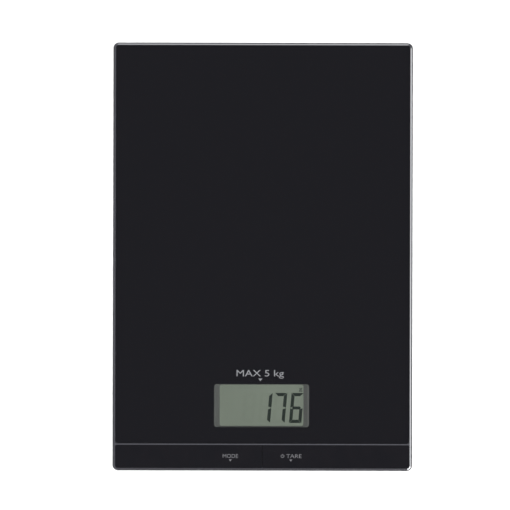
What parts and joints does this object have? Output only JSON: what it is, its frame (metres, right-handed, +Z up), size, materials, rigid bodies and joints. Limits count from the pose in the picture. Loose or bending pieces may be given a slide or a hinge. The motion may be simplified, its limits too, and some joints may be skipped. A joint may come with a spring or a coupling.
{
  "type": "kitchen scale",
  "caption": "Slim electronic kitchen scale: black glass platform in a bright rim, sunken number display, two rocking keys, sprung weighing feet and a hinged battery door.",
  "frame": {"origin": "on the table plane (undersides of the foot pads), under the centre of the body's outline", "axes": "+Z up, +Y from the key strip towards the back edge, +X to the right when the display is read"},
  "size_m": [0.161, 0.23, 0.017],
  "materials": {
    "silver_frame": "satin silver",
    "black_glass": "polished, printed black behind",
    "foam_tape": "matt foam",
    "key_black": "gloss",
    "base_black": "fine spark texture",
    "cell_steel": "bright nickel plate",
    "contact_plate": "nickel plated",
    "board_green": "solder mask",
    "display_glass": "polariser film",
    "display_grey": "satin",
    "zebra_rubber": "matt",
    "resin_black": "cured resin",
    "chip_parts": "ceramic",
    "crystal_can": "drawn can",
    "switch_grey": "satin",
    "plunger_black": "satin",
    "cell_alloy": "stamped",
    "gauge_foil": "polyimide film",
    "sealant_white": "cured silicone",
    "foot_black": "satin",
    "pad_rubber": "matt, dusty",
    "lead_sleeves": "coloured wire sleeves",
    "lead_red": "wire",
    "lead_black": "wire",
    "screw_steel": "zinc plate"
  },
  "bodies": {
    "scale_body": {"top_frame": "silver_frame", "glass_platform": "black_glass", "glass_tape": "foam_tape", "bottom_cover": "base_black", "coin_cell": "cell_steel", "positive_contact": "contact_plate", "negative_contact": "contact_plate", "main_board": "board_green", "lcd_panel": "display_glass", "lcd_frame": "display_grey", "zebra_strips": "zebra_rubber", "controller_chip": "resin_black", "board_components": "chip_parts", "crystal": "crystal_can", "unit_switch": "switch_grey", "zero_switch": "switch_grey", "strain_gauges": "gauge_foil", "gauge_sealant": "sealant_white", "battery_lead_red": "lead_red", "battery_lead_black": "lead_black", "cover_screws": "screw_steel", "board_screws": "screw_steel", "sensor_screws": "screw_steel", "load_cell_front_left": "cell_alloy", "sensor_leads_front_left": "lead_sleeves", "load_cell_front_right": "cell_alloy", "sensor_leads_front_right": "lead_sleeves", "load_cell_rear_left": "cell_alloy", "sensor_leads_rear_left": "lead_sleeves", "load_cell_rear_right": "cell_alloy", "sensor_leads_rear_right": "lead_sleeves"},
    "unit_key": {"unit_key": "key_black"},
    "zero_key": {"zero_key": "key_black"},
    "unit_plunger": {"unit_plunger": "plunger_black"},
    "zero_plunger": {"zero_plunger": "plunger_black"},
    "battery_door": {"battery_door": "base_black"},
    "foot_front_left": {"foot_front_left": "foot_black", "foot_pad_front_left": "pad_rubber"},
    "foot_front_right": {"foot_front_right": "foot_black", "foot_pad_front_right": "pad_rubber"},
    "foot_rear_left": {"foot_rear_left": "foot_black", "foot_pad_rear_left": "pad_rubber"},
    "foot_rear_right": {"foot_rear_right": "foot_black", "foot_pad_rear_right": "pad_rubber"}
  },
  "joints": [
    {"name": "unit_key_press", "type": "hinge", "parent": "scale_body", "child": "unit_key", "pos_m": [-0.037, -0.1024, 0.0132], "axis": [1, 0, 0], "range_deg": [0, 3], "stiffness_Nm_per_rad": 0.4},
    {"name": "unit_plunger_travel", "type": "slide", "parent": "scale_body", "child": "unit_plunger", "axis": [0, 0, -1], "range_m": [0, 0.0003]},
    {"name": "zero_key_press", "type": "hinge", "parent": "scale_body", "child": "zero_key", "pos_m": [0.037, -0.1024, 0.0132], "axis": [1, 0, 0], "range_deg": [0, 3], "stiffness_Nm_per_rad": 0.4},
    {"name": "zero_plunger_travel", "type": "slide", "parent": "scale_body", "child": "zero_plunger", "axis": [0, 0, -1], "range_m": [0, 0.0003]},
    {"name": "front_left_foot_travel", "type": "slide", "parent": "scale_body", "child": "foot_front_left", "axis": [0, 0, 1], "range_m": [0, 0.0004], "stiffness_N_per_m": 1000, "deforming": ["load_cell_front_left"]},
    {"name": "front_right_foot_travel", "type": "slide", "parent": "scale_body", "child": "foot_front_right", "axis": [0, 0, 1], "range_m": [0, 0.0004], "stiffness_N_per_m": 1000, "deforming": ["load_cell_front_right"]},
    {"name": "rear_left_foot_travel", "type": "slide", "parent": "scale_body", "child": "foot_rear_left", "axis": [0, 0, 1], "range_m": [0, 0.0004], "stiffness_N_per_m": 1000, "deforming": ["load_cell_rear_left"]},
    {"name": "rear_right_foot_travel", "type": "slide", "parent": "scale_body", "child": "foot_rear_right", "axis": [0, 0, 1], "range_m": [0, 0.0004], "stiffness_N_per_m": 1000, "deforming": ["load_cell_rear_right"]},
    {"name": "battery_door_swing", "type": "hinge", "parent": "scale_body", "child": "battery_door", "pos_m": [0, -0.0415, 0.0036], "axis": [-1, 0, 0], "range_deg": [0, 90]}
  ],
  "couplings": [
    {"joint": "unit_plunger_travel", "follows": "unit_key_press", "m_per_rad": 0.0054},
    {"joint": "zero_plunger_travel", "follows": "zero_key_press", "m_per_rad": 0.0054}
  ]
}
